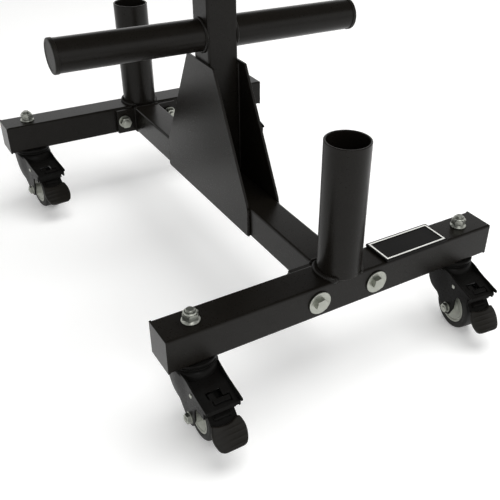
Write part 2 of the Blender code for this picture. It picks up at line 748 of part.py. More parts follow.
def build_frame(root):
    """Base tubes, flanges, mast, gussets and their fasteners."""
    cross_y = CROSS_SPACING / 2
    mid_height = UNDERSIDE + TUBE / 2
    cross = make_cross_tube()
    place("front_base_tube", cross, "powder_coat", root, (0, -cross_y, mid_height), 35)
    place("rear_base_tube", cross, "powder_coat", root, (0, cross_y, mid_height), 35)
    flange_y = cross_y - TUBE / 2 - GAP - FLANGE_THICKNESS / 2
    flange = make_flange()
    place("front_flange_plate", flange, "powder_coat", root, (0, -flange_y, mid_height), 35)
    place("rear_flange_plate", flange, "powder_coat", root, (0, flange_y, mid_height), 35)
    half_length = flange_y - FLANGE_THICKNESS / 2 - GAP
    centre_mid = mid_height - CENTRE_DROP
    place("centre_base_tube", make_centre_tube(half_length), "powder_coat", root, (0, 0, centre_mid), 35)
    gusset = make_gusset()
    gusset_x = TUBE / 2 + GAP + GUSSET_THICKNESS / 2
    for side, sign in (("left", -1), ("right", 1)):
        base = (sign * gusset_x, 0, CENTRE_TOP - TUBE)
        place(side + "_gusset_plate", gusset, "powder_coat", root, base)
    mast = make_mast(CENTRE_TOP + GAP, MAST_TOP)
    place("mast_tube", mast, "powder_coat", root, smooth=35)
    place("mast_cap", make_mast_cap(), "black_plastic", root, (0, 0, MAST_TOP), 35)
    bolt = make_flange_bolt()
    for end, toward in (("front", -1), ("rear", 1)):
        for side, x in zip(("left", "right"), flange_bolt_places()):
            name = end + "_flange_bolt_" + side
            piece = place(name, bolt, "zinc", root, (x, toward * (cross_y + TUBE / 2), mid_height), 35)
            if toward > 0:
                piece.rotation_euler = (0, 0, math.pi)


def build_pegs(root):
    """Pairs of plate pegs up the mast, with their end caps."""
    mast_face = TUBE / 2 + GAP
    peg = make_pipe(PEG_DIAMETER, PEG_WALL, mast_face, PEG_REACH, PEG_SIDES, "X")
    cap = make_peg_cap()
    levels = ("lower", "middle", "upper", "top", "highest")
    for level in range(PEG_LEVELS):
        height = TUBE_TOP + LOWEST_PEG + level * PEG_SPACING
        for side, sign in (("left", -1), ("right", 1)):
            name = levels[level] + "_" + side + "_peg"
            turn = (0, 0, math.pi if sign < 0 else 0)
            place(name, peg, "powder_coat", root, (0, 0, height), 35).rotation_euler = turn
            end = (sign * PEG_REACH, 0, height)
            place(name + "_cap", cap, "black_plastic", root, end, 35).rotation_euler = turn


def build_holders(root):
    """Bar holders over the middles of both cross tubes, and the blank badge plate."""
    holder = make_pipe(HOLDER_DIAMETER, HOLDER_WALL, GAP, HOLDER_HEIGHT, HOLDER_SIDES, "Z")
    for end, sign in (("front", -1), ("rear", 1)):
        base = (0, sign * CROSS_SPACING / 2, TUBE_TOP)
        place(end + "_bar_holder", holder, "powder_coat", root, base, 35)
    badge_x = BADGE_START + BADGE_LENGTH / 2
    place("badge_plate", make_badge(), "badge", root, (badge_x, -CROSS_SPACING / 2, TUBE_TOP + GAP))


def build_casters(root):
    """Four swivel casters with brakes, each turned to its own heading."""
    stem, fork, axle = make_caster_stem(), make_fork(), make_axle()
    rim, tyre = make_rim(), make_tyre()
    lever, pedal = make_lever(), make_pedal()
    nut = make_stem_nut()
    for corner, (side, end, heading) in CASTERS.items():
        x = side * (CROSS_LENGTH / 2 - STEM_INSET)
        y = end * CROSS_SPACING / 2
        swivel = add_pivot(corner + "_swivel", root, (x, y, UNDERSIDE), heading)
        wheel = add_pivot(corner + "_wheel", swivel, (0, -TRAIL, -AXLE_DROP))
        brake = add_pivot(corner + "_brake", swivel, (0, -PIN_FORWARD, -PIN_DROP))
        place(corner + "_caster_stem", stem, "black_steel", root, (x, y, UNDERSIDE), 35)
        place(corner + "_stem_nut", nut, "zinc", root, (x, y, TUBE_TOP), 35)
        place(corner + "_caster_fork", fork, "black_steel", swivel, smooth=35)
        place(corner + "_axle_bolt", axle, "zinc", swivel, (0, -TRAIL, -AXLE_DROP), 35)
        place(corner + "_wheel_rim", rim, "grey_rim", wheel, smooth=35)
        place(corner + "_tyre", tyre, "tyre", wheel, smooth=35)
        place(corner + "_brake_lever", lever, "black_steel", brake, smooth=35)
        place(corner + "_brake_pedal", pedal, "black_plastic", brake, smooth=35)


def centre_on_origin(root):
    """Move the whole object so that the origin lies at the bottom centre of its box."""
    bpy.context.view_layer.update()
    lows, highs = [], []
    for piece in bpy.data.objects:
        if piece.type != "MESH":
            continue
        places = [piece.matrix_world @ vertex.co for vertex in piece.data.vertices]
        lows.append([min(p[axis] for p in places) for axis in range(3)])
        highs.append([max(p[axis] for p in places) for axis in range(3)])
    low = [min(values) for values in zip(*lows)]
    high = [max(values) for values in zip(*highs)]
    root.location = (-(low[0] + high[0]) / 2, -(low[1] + high[1]) / 2, -low[2])


def main():
    for old in list(bpy.data.objects):
        bpy.data.objects.remove(old)
    root = add_pivot("plate_tree", None)
    build_frame(root)
    build_pegs(root)
    build_holders(root)
    build_casters(root)
    centre_on_origin(root)


main()
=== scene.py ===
import json
import math

import bmesh
import bpy
import numpy as np
from mathutils import Matrix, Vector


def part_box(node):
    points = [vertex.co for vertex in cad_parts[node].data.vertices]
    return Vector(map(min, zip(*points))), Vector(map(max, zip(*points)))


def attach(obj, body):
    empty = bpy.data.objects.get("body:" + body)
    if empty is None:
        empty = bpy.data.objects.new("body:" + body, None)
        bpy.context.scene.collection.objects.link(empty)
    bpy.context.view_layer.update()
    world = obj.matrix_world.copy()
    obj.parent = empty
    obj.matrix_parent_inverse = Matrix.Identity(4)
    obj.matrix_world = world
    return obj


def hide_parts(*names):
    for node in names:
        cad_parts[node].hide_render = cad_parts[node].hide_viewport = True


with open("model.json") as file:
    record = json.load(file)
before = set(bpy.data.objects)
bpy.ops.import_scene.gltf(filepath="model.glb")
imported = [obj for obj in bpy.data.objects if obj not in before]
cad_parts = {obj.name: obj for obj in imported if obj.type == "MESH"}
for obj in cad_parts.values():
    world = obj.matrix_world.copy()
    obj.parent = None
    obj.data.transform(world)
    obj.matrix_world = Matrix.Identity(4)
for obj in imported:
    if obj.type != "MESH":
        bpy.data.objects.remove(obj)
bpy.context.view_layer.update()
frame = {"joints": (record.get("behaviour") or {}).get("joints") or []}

# Shapes are worked out in millimetres, and set_in_place turns them into metres
MM = 0.001
CORNERS = ("front_left", "front_right", "rear_left", "rear_right")
JOINTS = {joint["name"]: joint for joint in frame["joints"]}

# Square tube of the frame and the parts bolted or welded to it
TUBE = 50.0
TUBE_CORNER = 4.0
END_PLATE = 3.0
PEG_RADIUS = 24.0
HOLDER_RADIUS = 31.0
HOLDER_WALL = 3.0
FILLET = 2.2
BADGE_TRIM = 6.0
BOLT_RADIUS = 6.0
BOLT_PITCH = 1.75
HEAD_REACH = 10.3
HEAD_WASHER = 17.0
NUT_WASHER = 12.0
HEX_FLATS = 19.0
HEAD_FLATS = 17.0
HEAD_TURN = math.radians(14)
NUT_TURNS = {"front_left": 0.0, "front_right": 20.0, "rear_left": 30.0, "rear_right": 10.0}

# Caster, measured from the tube's underside, with its front towards -Y
TRAIL = 35.0
AXLE_DROP = 74.4
AXLE_RADIUS = 4.0
AXLE_FLATS = 13.0
BOSS_RADIUS = 11.5
FORK_HALF = 25.5
FORK_SHEET = 2.5
FORK_REACH = 84.5
FORK_REAR = 23.5
CROWN_FLOOR = 22.0
NOSE_FALL = 11.0
NOSE_LIP = 8.0
STRIP_GAP = 3.0
STRIP_HEIGHT = 6.0
STRIP_LOW = -(CROWN_FLOOR + NOSE_FALL + NOSE_LIP + STRIP_GAP + STRIP_HEIGHT)
NOSE_SLOPE_START = 45.0
WEB_FALL = 0.26
CHEEK_SWELL = 3.0
PIN_FORWARD = 43.5
PIN_DROP = 29.3
LEVER_HALF = 21.5
LEVER_SHEET = 1.6
STRIP_HALF = 11.5
PEDAL_SLOPE = math.radians(49)
PEDAL_HALF = 23.2
PEDAL_SHIFT = 1.2
PEDAL_LENGTH = 38.4
PEDAL_DEPTH = 6.5
PEDAL_SKIN = 2.5
PEDAL_CROWN = 1.4
PEDAL_RISE = 1.9
RIDGES = (12.0, 19.3, 26.6, 33.6)
RIDGE_HEIGHT = 0.32
RIDGE_WIDTH = 1.1


# ---- shapes ----

ORDER = {"X": (2, 0, 1), "Y": (0, 2, 1), "Z": (0, 1, 2)}


def rounded(points, radius, steps=5, closed=True):
    """A polygon or open line with its corners rounded: each corner becomes a short parabola between two points
    set back from it along its sides by the radius, and never by more than 0.45 of a side."""
    corner = np.asarray(points, float)
    before, after = np.roll(corner, 1, 0) - corner, np.roll(corner, -1, 0) - corner
    long_before, long_after = np.hypot(*before.T), np.hypot(*after.T)
    setback = np.minimum(radius, 0.45 * np.minimum(long_before, long_after))
    if not closed:
        setback = np.where(np.isin(np.arange(len(corner)), (0, len(corner) - 1)), 0, setback)
    start = corner + before * (setback / long_before)[:, None]
    end = corner + after * (setback / long_after)[:, None]
    share = np.linspace(0, 1, steps + 1)[None, :, None]
    curve = (1 - share) ** 2 * start[:, None] + 2 * share * (1 - share) * corner[:, None] + share ** 2 * end[:, None]
    line = curve.reshape(-1, 2)
    keep = np.hypot(*np.diff(line, axis=0).T) > 1e-6
    return line[np.concatenate([[True], keep])]


def inset(outline, depth):
    """The outline moved inwards by a depth: each point moves along the mean of its two sides' inward normals,
    divided by the cosine of half their turn, so that the sides stay parallel."""
    side = np.roll(outline, -1, 0) - outline
    area = np.sum(outline[:, 0] * np.roll(outline[:, 1], -1) - outline[:, 1] * np.roll(outline[:, 0], -1))
    normal = np.stack([-side[:, 1], side[:, 0]], 1) / np.hypot(*side.T)[:, None] * np.sign(area)
    mean = normal + np.roll(normal, 1, 0)
    mean /= np.hypot(*mean.T)[:, None]
    return outline + depth * mean / np.maximum((mean * normal).sum(1), 0.5)[:, None]


def skin(grid, looped=False):
    """A closed shell over a grid of points (station, place round it, 3): quads between neighbours, with the ends
    closed by flat faces, or the last station joined to the first."""
    stations, count = grid.shape[:2]
    index = np.arange(stations * count).reshape(stations, count)
    rows = np.vstack([index, index[:1]]) if looped else index
    rows = np.hstack([rows, rows[:, :1]])
    quads = np.stack([rows[:-1, :-1], rows[:-1, 1:], rows[1:, 1:], rows[1:, :-1]], -1).reshape(-1, 4)
    caps = [] if looped else [index[0].tolist(), index[-1].tolist()]
    return grid.reshape(-1, 3), quads.tolist() + caps


def lofted(outline, rings, along="Z", looped=False):
    """An outline carried along an axis through rings of (level, inset), as a plate with rounded edges."""
    layers = [np.column_stack([inset(outline, depth), np.full(len(outline), level)]) for level, depth in rings]
    return skin(np.array(layers)[..., ORDER[along]], looped)


def stepped(width, height, rings, looped=False):
    """A rectangle standing on Z 0, carried through rings of (level, inset), with a little round at each corner."""
    layers = []
    for level, depth in rings:
        line = rounded(rectangle(width - 2 * depth, height - 2 * depth), max(1.2 - depth, 0.3), 4)
        layers.append(np.column_stack([line, np.full(len(line), level)]))
    return skin(np.array(layers), looped)


def rounded_ends(low, high, edge):
    """Rings from low to high whose insets follow a quarter circle of the edge's radius at both ends."""
    turn = np.linspace(0, math.pi / 2, 4)
    level, depth = edge * (1 - np.cos(turn)), edge * (1 - np.sin(turn))
    near = list(zip(low + level, depth))
    return near + [(low + high - place, by) for place, by in reversed(near)]


def plate(outline, low, high, edge, along):
    """A flat plate between two levels with rounded edges."""
    return lofted(np.asarray(outline, float), rounded_ends(low, high, edge), along)


def turned(profile, along="Z", sides=72, flats=0.0, looped=False, twist=0.0):
    """A profile of (level, radius) turned round an axis. With flats, the radius is the lesser of the profile's and
    a hexagon's, so that a cone cuts the corners as on a real nut. The twist turns the hexagon about its axis."""
    level, radius = np.asarray(profile, float).T
    angle = np.arange(sides) * 2 * np.pi / sides
    reach = np.repeat(radius[:, None], sides, 1)
    if flats:
        sixth = np.pi / 3
        reach = np.minimum(reach, flats / 2 / np.cos(angle % sixth - sixth / 2))
    angle = angle + twist
    flat = np.stack([reach * np.cos(angle), reach * np.sin(angle), np.repeat(level[:, None], sides, 1)], -1)
    return skin(flat[..., ORDER[along]], looped)


def hexagon(low, high, flats, along="Z", top=True, low_cut=True, twist=0.0):
    """A hexagonal prism whose ends are cut by 30 degree cones, in rings a fraction of a millimetre apart."""
    corner = flats / math.sqrt(3)
    rise = (corner - flats * 0.48) * math.tan(math.radians(30))
    share = np.linspace(0, 1, 6)
    cone = flats * 0.48 + (corner - flats * 0.48) * share
    first = list(zip(low + rise * share, cone)) if low_cut else [(low, corner)]
    last = list(zip(high - rise * share[::-1], cone[::-1])) if top else [(high, corner)]
    return turned(first + last, along, 96, flats, twist=twist)


def threaded(low, high, radius, pitch, along="Z"):
    """A screw thread: the radius dips by up to 0.6 of the pitch, as a cosine of level over pitch minus angle over a
    full turn, and a cone chamfers both ends."""
    level = np.linspace(low, high, max(6, int((high - low) / pitch * 10)))
    angle = np.arange(48) * 2 * np.pi / 48
    wave = np.cos(2 * np.pi * (level[:, None] / pitch) - angle[None, :])
    chamfer = np.minimum(level - low, high - level)[:, None] + radius - 1.1
    reach = np.minimum(radius - 0.3 * pitch * (1 + wave), chamfer)
    flat = np.stack([reach * np.cos(angle), reach * np.sin(angle), np.repeat(level[:, None], 48, 1)], -1)
    return skin(flat[..., ORDER[along]])


def bead(path, outward, radius, closed=False, pitch=1.9):
    """A weld bead: a small circle carried along a path, its radius rippled by a rounded saw wave of the distance
    run, one ripple per pitch. outward points away from the corner that the bead fills."""
    path, outward = np.asarray(path, float), np.asarray(outward, float)
    step = np.linalg.norm(np.diff(path, axis=0), axis=1)
    run = np.concatenate([[0], np.cumsum(step)])
    count = max(8, int(run[-1] / pitch * 6))
    place = np.linspace(0, run[-1], count, endpoint=not closed)
    path = np.stack([np.interp(place, run, path[:, k]) for k in range(3)], 1)
    outward = np.stack([np.interp(place, run, outward[:, k]) for k in range(3)], 1)
    tangent = np.gradient(path, axis=0)
    if closed:
        tangent = np.roll(path, -1, 0) - np.roll(path, 1, 0)
    tangent /= np.linalg.norm(tangent, axis=1)[:, None]
    side = np.cross(tangent, outward)
    side /= np.linalg.norm(side, axis=1)[:, None]
    lift = np.cross(side, tangent)
    phase = place / pitch % 1
    size = radius * (0.90 + 0.16 * np.sqrt(1 - phase) + 0.05 * np.sin(place / 7.3) + 0.04 * np.sin(place / 3.1))
    if not closed:
        size = size * np.clip(np.minimum(place, run[-1] - place) / radius, 0.15, 1) ** 0.5
    turn = np.arange(12) * np.pi / 6
    around = np.cos(turn)[None, :, None] * lift[:, None] + np.sin(turn)[None, :, None] * side[:, None]
    return skin(path[:, None] + around * size[:, None, None], looped=closed)


def ring_bead(centre, reach, radius, along, toward):
    """A weld bead round a pipe's foot: a circle about an axis, facing out and along it."""
    turn = np.linspace(0, 2 * np.pi, 181)
    flat = np.stack([reach * np.cos(turn), reach * np.sin(turn), np.zeros(181)], 1)
    face = np.stack([np.cos(turn), np.sin(turn), np.full(181, toward)], 1) / math.sqrt(2)
    order = list(ORDER[along])
    return bead(np.asarray(centre, float) + flat[:, order], face[:, order], radius, closed=True)


def pressed(path, columns, thickness, openings):
    """A bent sheet: a (y, z) path carried along X and thickened across its normals. Cells whose rows and columns lie
    inside an opening (path y range, x range) are left out, and every free edge gets a wall."""
    tangent = np.gradient(path, axis=0)
    tangent /= np.hypot(*tangent.T)[:, None]
    under = path + thickness * np.stack([tangent[:, 1], -tangent[:, 0]], 1)
    rows, count = len(path), len(columns)
    sheets = [np.stack(np.broadcast_arrays(columns[None, :], line[:, :1], line[:, 1:]), -1) for line in (path, under)]
    index = np.arange(2 * rows * count).reshape(2, rows, count)
    kept = np.ones((rows - 1, count - 1), bool)
    y_mid, x_mid = (path[1:, 0] + path[:-1, 0]) / 2, (columns[1:] + columns[:-1]) / 2
    for (y_low, y_high), (x_low, x_high) in openings:
        kept &= ~(((y_mid > y_low) & (y_mid < y_high))[:, None] & ((x_mid > x_low) & (x_mid < x_high))[None, :])
    faces = []
    for layer in index:
        cell = np.stack([layer[:-1, :-1], layer[:-1, 1:], layer[1:, 1:], layer[1:, :-1]], -1)
        faces += cell[kept].tolist()
    framed = np.pad(kept, 1)
    along = framed[1:-1, :-1] != framed[1:-1, 1:]
    wall = np.stack([index[0, :-1], index[0, 1:], index[1, 1:], index[1, :-1]], -1)
    faces += wall[along].tolist()
    across = framed[:-1, 1:-1] != framed[1:, 1:-1]
    wall = np.stack([index[0, :, :-1], index[0, :, 1:], index[1, :, 1:], index[1, :, :-1]], -1)
    faces += wall[across].tolist()
    return np.concatenate([sheet.reshape(-1, 3) for sheet in sheets]), faces


def rectangle(width, height):
    """Corners of a rectangle about its middle, anticlockwise."""
    x, y = width / 2, height / 2
    return [(-x, -y), (x, -y), (x, y), (-x, y)]


def ribbon(path, thickness):
    """Outline of a strip of even thickness: the line, then the same line moved across its normals, reversed."""
    path = np.asarray(path, float)
    tangent = np.gradient(path, axis=0)
    tangent /= np.hypot(*tangent.T)[:, None]
    other = path + thickness * np.stack([tangent[:, 1], -tangent[:, 0]], 1)
    return np.concatenate([path, other[::-1]])


# ---- materials ----

def linear(code):
    """An sRGB hex colour as scene-linear RGBA."""
    value = np.array([int(code[i:i + 2], 16) for i in (0, 2, 4)]) / 255
    value = np.where(value <= 0.04045, value / 12.92, ((value + 0.055) / 1.055) ** 2.4)
    return (*value.tolist(), 1.0)


def add_node(tree, kind, values=None, links=None, **settings):
    """A node with its settings, its sockets' values, and the outputs linked into its sockets."""
    made = tree.nodes.new(kind)
    for key, value in settings.items():
        setattr(made, key, value)
    for socket, value in (values or {}).items():
        made.inputs[socket].default_value = value
    for socket, source in (links or {}).items():
        tree.links.new(source, made.inputs[socket])
    return made


def surface(name, light, dark, roughness, spread, grain, relief, mottle, specular=0.5, metallic=0.0):
    """A Principled material. A slow noise of the mottle's size mixes its two colours, and a fine one of the grain's
    size spreads its roughness and raises the surface by the relief. These sizes are in millimetres."""
    material = bpy.data.materials.new(name)
    material.use_nodes = True
    tree = material.node_tree
    shader = tree.nodes["Principled BSDF"]
    shader.inputs["Metallic"].default_value = metallic
    shader.inputs["Specular IOR Level"].default_value = specular
    place = add_node(tree, "ShaderNodeTexCoord").outputs["Object"]
    slow = add_node(tree, "ShaderNodeTexNoise", {"Scale": 1 / mottle / MM, "Detail": 3.0, "Roughness": 0.55},
                    {"Vector": place})
    fine = add_node(tree, "ShaderNodeTexNoise", {"Scale": 1 / grain / MM, "Detail": 2.0, "Roughness": 0.5},
                    {"Vector": place})
    ramp = add_node(tree, "ShaderNodeValToRGB", links={"Fac": slow.outputs["Fac"]})
    ramp.color_ramp.elements[0].position, ramp.color_ramp.elements[0].color = 0.3, linear(dark)
    ramp.color_ramp.elements[1].position, ramp.color_ramp.elements[1].color = 0.7, linear(light)
    rough = add_node(tree, "ShaderNodeMapRange", {"From Min": 0.3, "From Max": 0.7, "To Min": roughness - spread,
                                                  "To Max": roughness + spread}, {"Value": fine.outputs["Fac"]})
    raised = add_node(tree, "ShaderNodeBump", {"Strength": 1.0, "Distance": relief * MM},
                      {"Height": fine.outputs["Fac"]})
    tree.links.new(ramp.outputs["Color"], shader.inputs["Base Color"])
    tree.links.new(rough.outputs["Result"], shader.inputs["Roughness"])
    tree.links.new(raised.outputs["Normal"], shader.inputs["Normal"])
    return material


# Mild steel tube, baked polyester powder coat: a satin charcoal black with a faint orange peel. The real peel is
# about 0.8 mm across; it is drawn at 2.2 mm so that it still shows at the photograph's size.
POWDER = surface("powder_coated_steel", "13110e", "0f0d0a", 0.30, 0.03, 2.2, 0.003, mottle=40, specular=0.17)
# Bright zinc on steel fasteners: cool silver with slight milky patches from the passivation.
ZINC = surface("zinc_plated_steel", "a9aba3", "9c9e96", 0.38, 0.04, 3.0, 0.002, metallic=1.0, mottle=12)
# Pressed steel with a black electrophoretic coat: deep black, with small soft highlights.
GLOSS = surface("black_coated_pressed_steel", "141413", "100f0e", 0.30, 0.04, 3.0, 0.003, mottle=20, specular=0.05)
# Injection moulded polypropylene with a fine spark-eroded texture.
PLASTIC = surface("moulded_black_polypropylene", "161410", "110f0c", 0.44, 0.06, 0.9, 0.008, mottle=15, specular=0.17)
# Wheel centre moulded in light grey nylon.
RIM = surface("moulded_grey_nylon", "a3a59b", "999b92", 0.42, 0.05, 1.2, 0.006, mottle=10)
# Thermoplastic rubber tread, dull with handling marks.
TYRE = surface("thermoplastic_rubber", "1a1a18", "131211", 0.58, 0.08, 1.6, 0.02, mottle=9, specular=0.25)
# Name plate: die cast, enamelled black, its raised frame left in white paint.
ENAMEL = surface("black_enamelled_plate", "0d0c0b", "090908", 0.38, 0.04, 0.8, 0.003, mottle=10, specular=0.08)
WHITE = surface("white_painted_frame", "e6e6e1", "dcdcd6", 0.45, 0.04, 1.0, 0.003, mottle=10)


# ---- pieces ----

def set_in_place(name, shells, material, body, slot, nodes=(), place=(0, 0, 0), heading=0.0, bevel=0.0):
    """Join closed shells, turn them by a heading about Z, set them at a place in metres, and make them ride."""
    sine, cosine = math.sin(heading), math.cos(heading)
    turn = np.array([[cosine, sine, 0], [-sine, cosine, 0], [0, 0, 1]])
    shift, faces = 0, []
    for points, shell_faces in shells:
        faces += [[corner + shift for corner in face] for face in shell_faces]
        shift += len(points)
    points = np.concatenate([points for points, _ in shells]) @ turn * MM + np.asarray(place, float)
    mesh = bpy.data.meshes.new(name)
    mesh.from_pydata(points.tolist(), [], faces)
    work = bmesh.new()
    work.from_mesh(mesh)
    bmesh.ops.recalc_face_normals(work, faces=work.faces)
    work.to_mesh(mesh)
    work.free()
    mesh.materials.append(material)
    mesh.shade_smooth()
    mesh.set_sharp_from_angle(angle=math.radians(38))
    piece = bpy.data.objects.new(name, mesh)
    bpy.context.collection.objects.link(piece)
    if bevel:
        edge = piece.modifiers.new("soft_edges", "BEVEL")
        edge.width, edge.segments, edge.limit_method, edge.angle_limit = bevel * MM, 2, "ANGLE", math.radians(50)
    even = piece.modifiers.new("even_shading", "WEIGHTED_NORMAL")
    even.keep_sharp = True
    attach(piece, body)
    if nodes:
        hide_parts(*nodes)


def middle(node):
    """Centre of a CAD node's box, in metres."""
    low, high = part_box(node)
    return np.array((low + high) / 2)


def span(node):
    """Sizes of a CAD node's box, in millimetres."""
    low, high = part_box(node)
    return np.array(high - low) / MM


def frame_piece(node, shells, material=POWDER, slot="powder_coat", place=None):
    """A piece of the frame that stands for a CAD node and sits at its centre."""
    place = middle(node) if place is None else place
    set_in_place(node + "_form", shells, material, "frame", slot, (node,), place)


SQUARE = rounded(rectangle(TUBE, TUBE), TUBE_CORNER, 8)


def make_cross_tubes():
    """Cross tubes: rounded square section between square end plates, whose welds are ground flush."""
    for node in ("front_base_tube", "rear_base_tube"):
        half = span(node)[0] / 2
        shells = [lofted(SQUARE, [(END_PLATE - half, 0), (half - END_PLATE, 0)], "X")]
        square = rounded(rectangle(TUBE, TUBE), 0.7, 3)
        edge = rounded_ends(0, 2 * END_PLATE, 0.6)
        rings = edge[:len(edge) // 2] + [(END_PLATE, 0)]
        for sign in (-1, 1):
            shells.append(lofted(square, [(sign * (half - level), depth) for level, depth in rings], "X"))
        frame_piece(node, shells)


def tube_foot():
    """The line that a fillet weld takes round a square tube, closed on itself, and the unit ways out from it."""
    corner = rounded(rectangle(TUBE, TUBE), TUBE_CORNER + 1, 8)
    loop = np.vstack([corner, corner[:1]])
    return loop, loop / np.hypot(*loop.T)[:, None]


def make_centre_tube():
    """Centre tube, its flanges, and the fillet welds that join them."""
    half = span("centre_base_tube")[1] / 2
    frame_piece("centre_base_tube", [lofted(SQUARE, [(-half, 0), (half, 0)], "Y")])
    loop, away = tube_foot()
    centre = middle("centre_base_tube")
    for sign, node in ((-1, "front_flange_plate"), (1, "rear_flange_plate")):
        size = span(node)
        outline = rounded(rectangle(size[0], size[2]), 1.5, 3)
        frame_piece(node, [plate(outline, -size[1] / 2, size[1] / 2, 0.5, "Y")])
        path = np.column_stack([loop[:, 0], np.full(len(loop), sign * (half - 0.5)), loop[:, 1]])
        face = np.column_stack([away[:, 0], np.full(len(loop), -sign), away[:, 1]])
        shell = bead(path, face, FILLET, closed=True)
        set_in_place(node + "_weld", [shell], POWDER, "frame", "powder_coat", place=centre)


def gusset_outline(size):
    """The gusset's outline about its box's centre: upright ends, rounded shoulders, slopes and a level top."""
    low, high = size[1] / 2, 44.0
    base = -size[2] / 2
    shoulder = base + TUBE
    right = [(low, base), (low, shoulder), (high, size[2] / 2)]
    points = right + [(-y, z) for y, z in reversed(right)]
    return rounded(points, np.array([0.6, 9.0, 1.5, 1.5, 9.0, 0.6]), 6)


def make_gussets():
    """Gusset plates, with fillet welds up the mast's corners and up the plates' own ends."""
    for side, sign in (("left", -1), ("right", 1)):
        node = side + "_gusset_plate"
        size = span(node)
        frame_piece(node, [plate(gusset_outline(size), -size[0] / 2, size[0] / 2, 0.6, "X")])
        centre = middle(node)
        inner = -sign * size[0] / 2
        welds = []
        for end in (-1, 1):
            y = end * (size[1] / 2 - 0.4)
            upright = np.linspace(-size[2] / 2 - 0.6, -size[2] / 2 + TUBE - 3, 12)
            path = np.column_stack([np.full(12, inner * 0.35), np.full(12, y), upright])
            welds.append(bead(path, np.tile([sign * 0.7, end * 0.7, 0], (12, 1)), 2.9))
            rise = np.linspace(-size[2] / 2 + TUBE + 4, size[2] / 2 - 3, 24)
            path = np.column_stack([np.full(24, inner), np.full(24, end * TUBE / 2), rise])
            welds.append(bead(path, np.tile([sign * 0.7, end * 0.7, 0], (24, 1)), 2.4))
        set_in_place(node + "_welds", welds, POWDER, "frame", "powder_coat", place=centre)


def make_mast():
    """Mast, the weld at its foot, and its moulded cap with a softly rounded top."""
    low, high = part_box("mast_tube")
    half = (high.z - low.z) / 2 / MM
    frame_piece("mast_tube", [lofted(SQUARE, [(-half, 0), (half, 0)])])
    loop, away = tube_foot()
    path = np.column_stack([loop * 0.985, np.full(len(loop), 0.6)])
    face = np.column_stack([away, np.ones(len(loop))])
    foot = [(low.x + high.x) / 2, (low.y + high.y) / 2, low.z]
    weld = bead(path, face, FILLET, closed=True)
    set_in_place("mast_foot_weld", [weld], POWDER, "frame", "powder_coat", place=foot)
    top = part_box("mast_cap")[1].z
    lid = [(-12.0, 3.6), (-4.6, 3.4), (-4.0, 3.2), (-3.95, 0.0), (-1.6, 0.0), (-1.0, 0.2), (-0.5, 0.8), (-0.15, 2.0),
           (0.0, 4.5)]
    place = [(low.x + high.x) / 2, (low.y + high.y) / 2, top]
    frame_piece("mast_cap", [lofted(SQUARE, lid)], PLASTIC, "black_plastic", place)


def make_pegs():
    """Plate pegs with ring welds at the mast and moulded end caps: a flange with a rounded edge, a shallow dish and a
    ring round it."""
    for level in ("lower", "middle", "upper"):
        for side, sign in (("left", -1), ("right", 1)):
            node = level + "_" + side + "_peg"
            half = span(node)[0] / 2
            frame_piece(node, [turned([(-half, PEG_RADIUS), (half, PEG_RADIUS)], "X", 72)])
            root = middle(node) - np.array([sign * half * MM, 0, 0])
            shell = ring_bead((sign * 0.6, 0, 0), PEG_RADIUS - 0.1, 2.6, "X", sign)
            set_in_place(node + "_weld", [shell], POWDER, "frame", "powder_coat", place=root)
            cap = node + "_cap"
            low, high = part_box(cap)
            end = high.x if sign > 0 else low.x
            profile = [(-9, 18), (-6.75, 20), (-6.7, 24.6), (-6.4, 25), (-1.8, 25), (-0.9, 24.7), (-0.3, 24.0),
                       (0, 22.8), (0, 20.5), (-0.5, 20.0), (-0.6, 19.0), (-0.6, 0.5)]
            shell = turned([(sign * place, radius) for place, radius in profile], "X", 72)
            place = middle(cap)
            place[0] = end
            frame_piece(cap, [shell], PLASTIC, "black_plastic", place)


def foot_beads():
    """Weld beads on the tube's top at the left and right of a holder's foot, along the arcs where it stands on it."""
    reach = math.degrees(math.asin(TUBE / 2 / HOLDER_RADIUS)) + 1
    beads = []
    for middle_angle, radius in ((180, 5.6), (0, 2.8)):
        turn = np.radians(np.linspace(middle_angle - reach, middle_angle + reach, 61))
        out = np.column_stack([np.cos(turn), np.sin(turn), np.zeros(61)])
        path = out * (HOLDER_RADIUS + 0.1) + (0, 0, 0.3)
        beads.append(bead(path, out + (0, 0, 1.0), radius, pitch=2.4))
    return beads


def foot_fill(toward):
    """Weld metal under the holder's overhang at the tube's front or rear face, dressed smooth: each slice across X
    is an S from the pipe's side down to the tube's face, upright at both ends, where the share of the way out falls
    as one less a smooth step, and deeper where the pipe stands out further."""
    reach = math.acos(TUBE / 2 / HOLDER_RADIUS)
    turn = np.linspace(-reach, reach, 49)
    out = HOLDER_RADIUS * np.cos(turn)
    stand = out - TUBE / 2
    down = 0.7 * stand + 0.6
    share = np.linspace(0, 1, 15)[None, :]
    curve_y = TUBE / 2 + 0.05 + stand[:, None] * (1 - share ** 2 * (3 - 2 * share))
    curve_z = 3.0 - (3.0 + down[:, None]) * share
    inner_y = np.stack([np.full(49, TUBE / 2 - 1), out - 1.0], 1)
    inner_z = np.stack([-0.5 * down, np.full(49, 1.0)], 1)
    across = np.hstack([curve_y, inner_y])
    height = np.hstack([curve_z, inner_z])
    side = np.repeat((HOLDER_RADIUS * np.sin(turn))[:, None], across.shape[1], 1)
    return skin(np.stack([side, toward * across, height], -1))


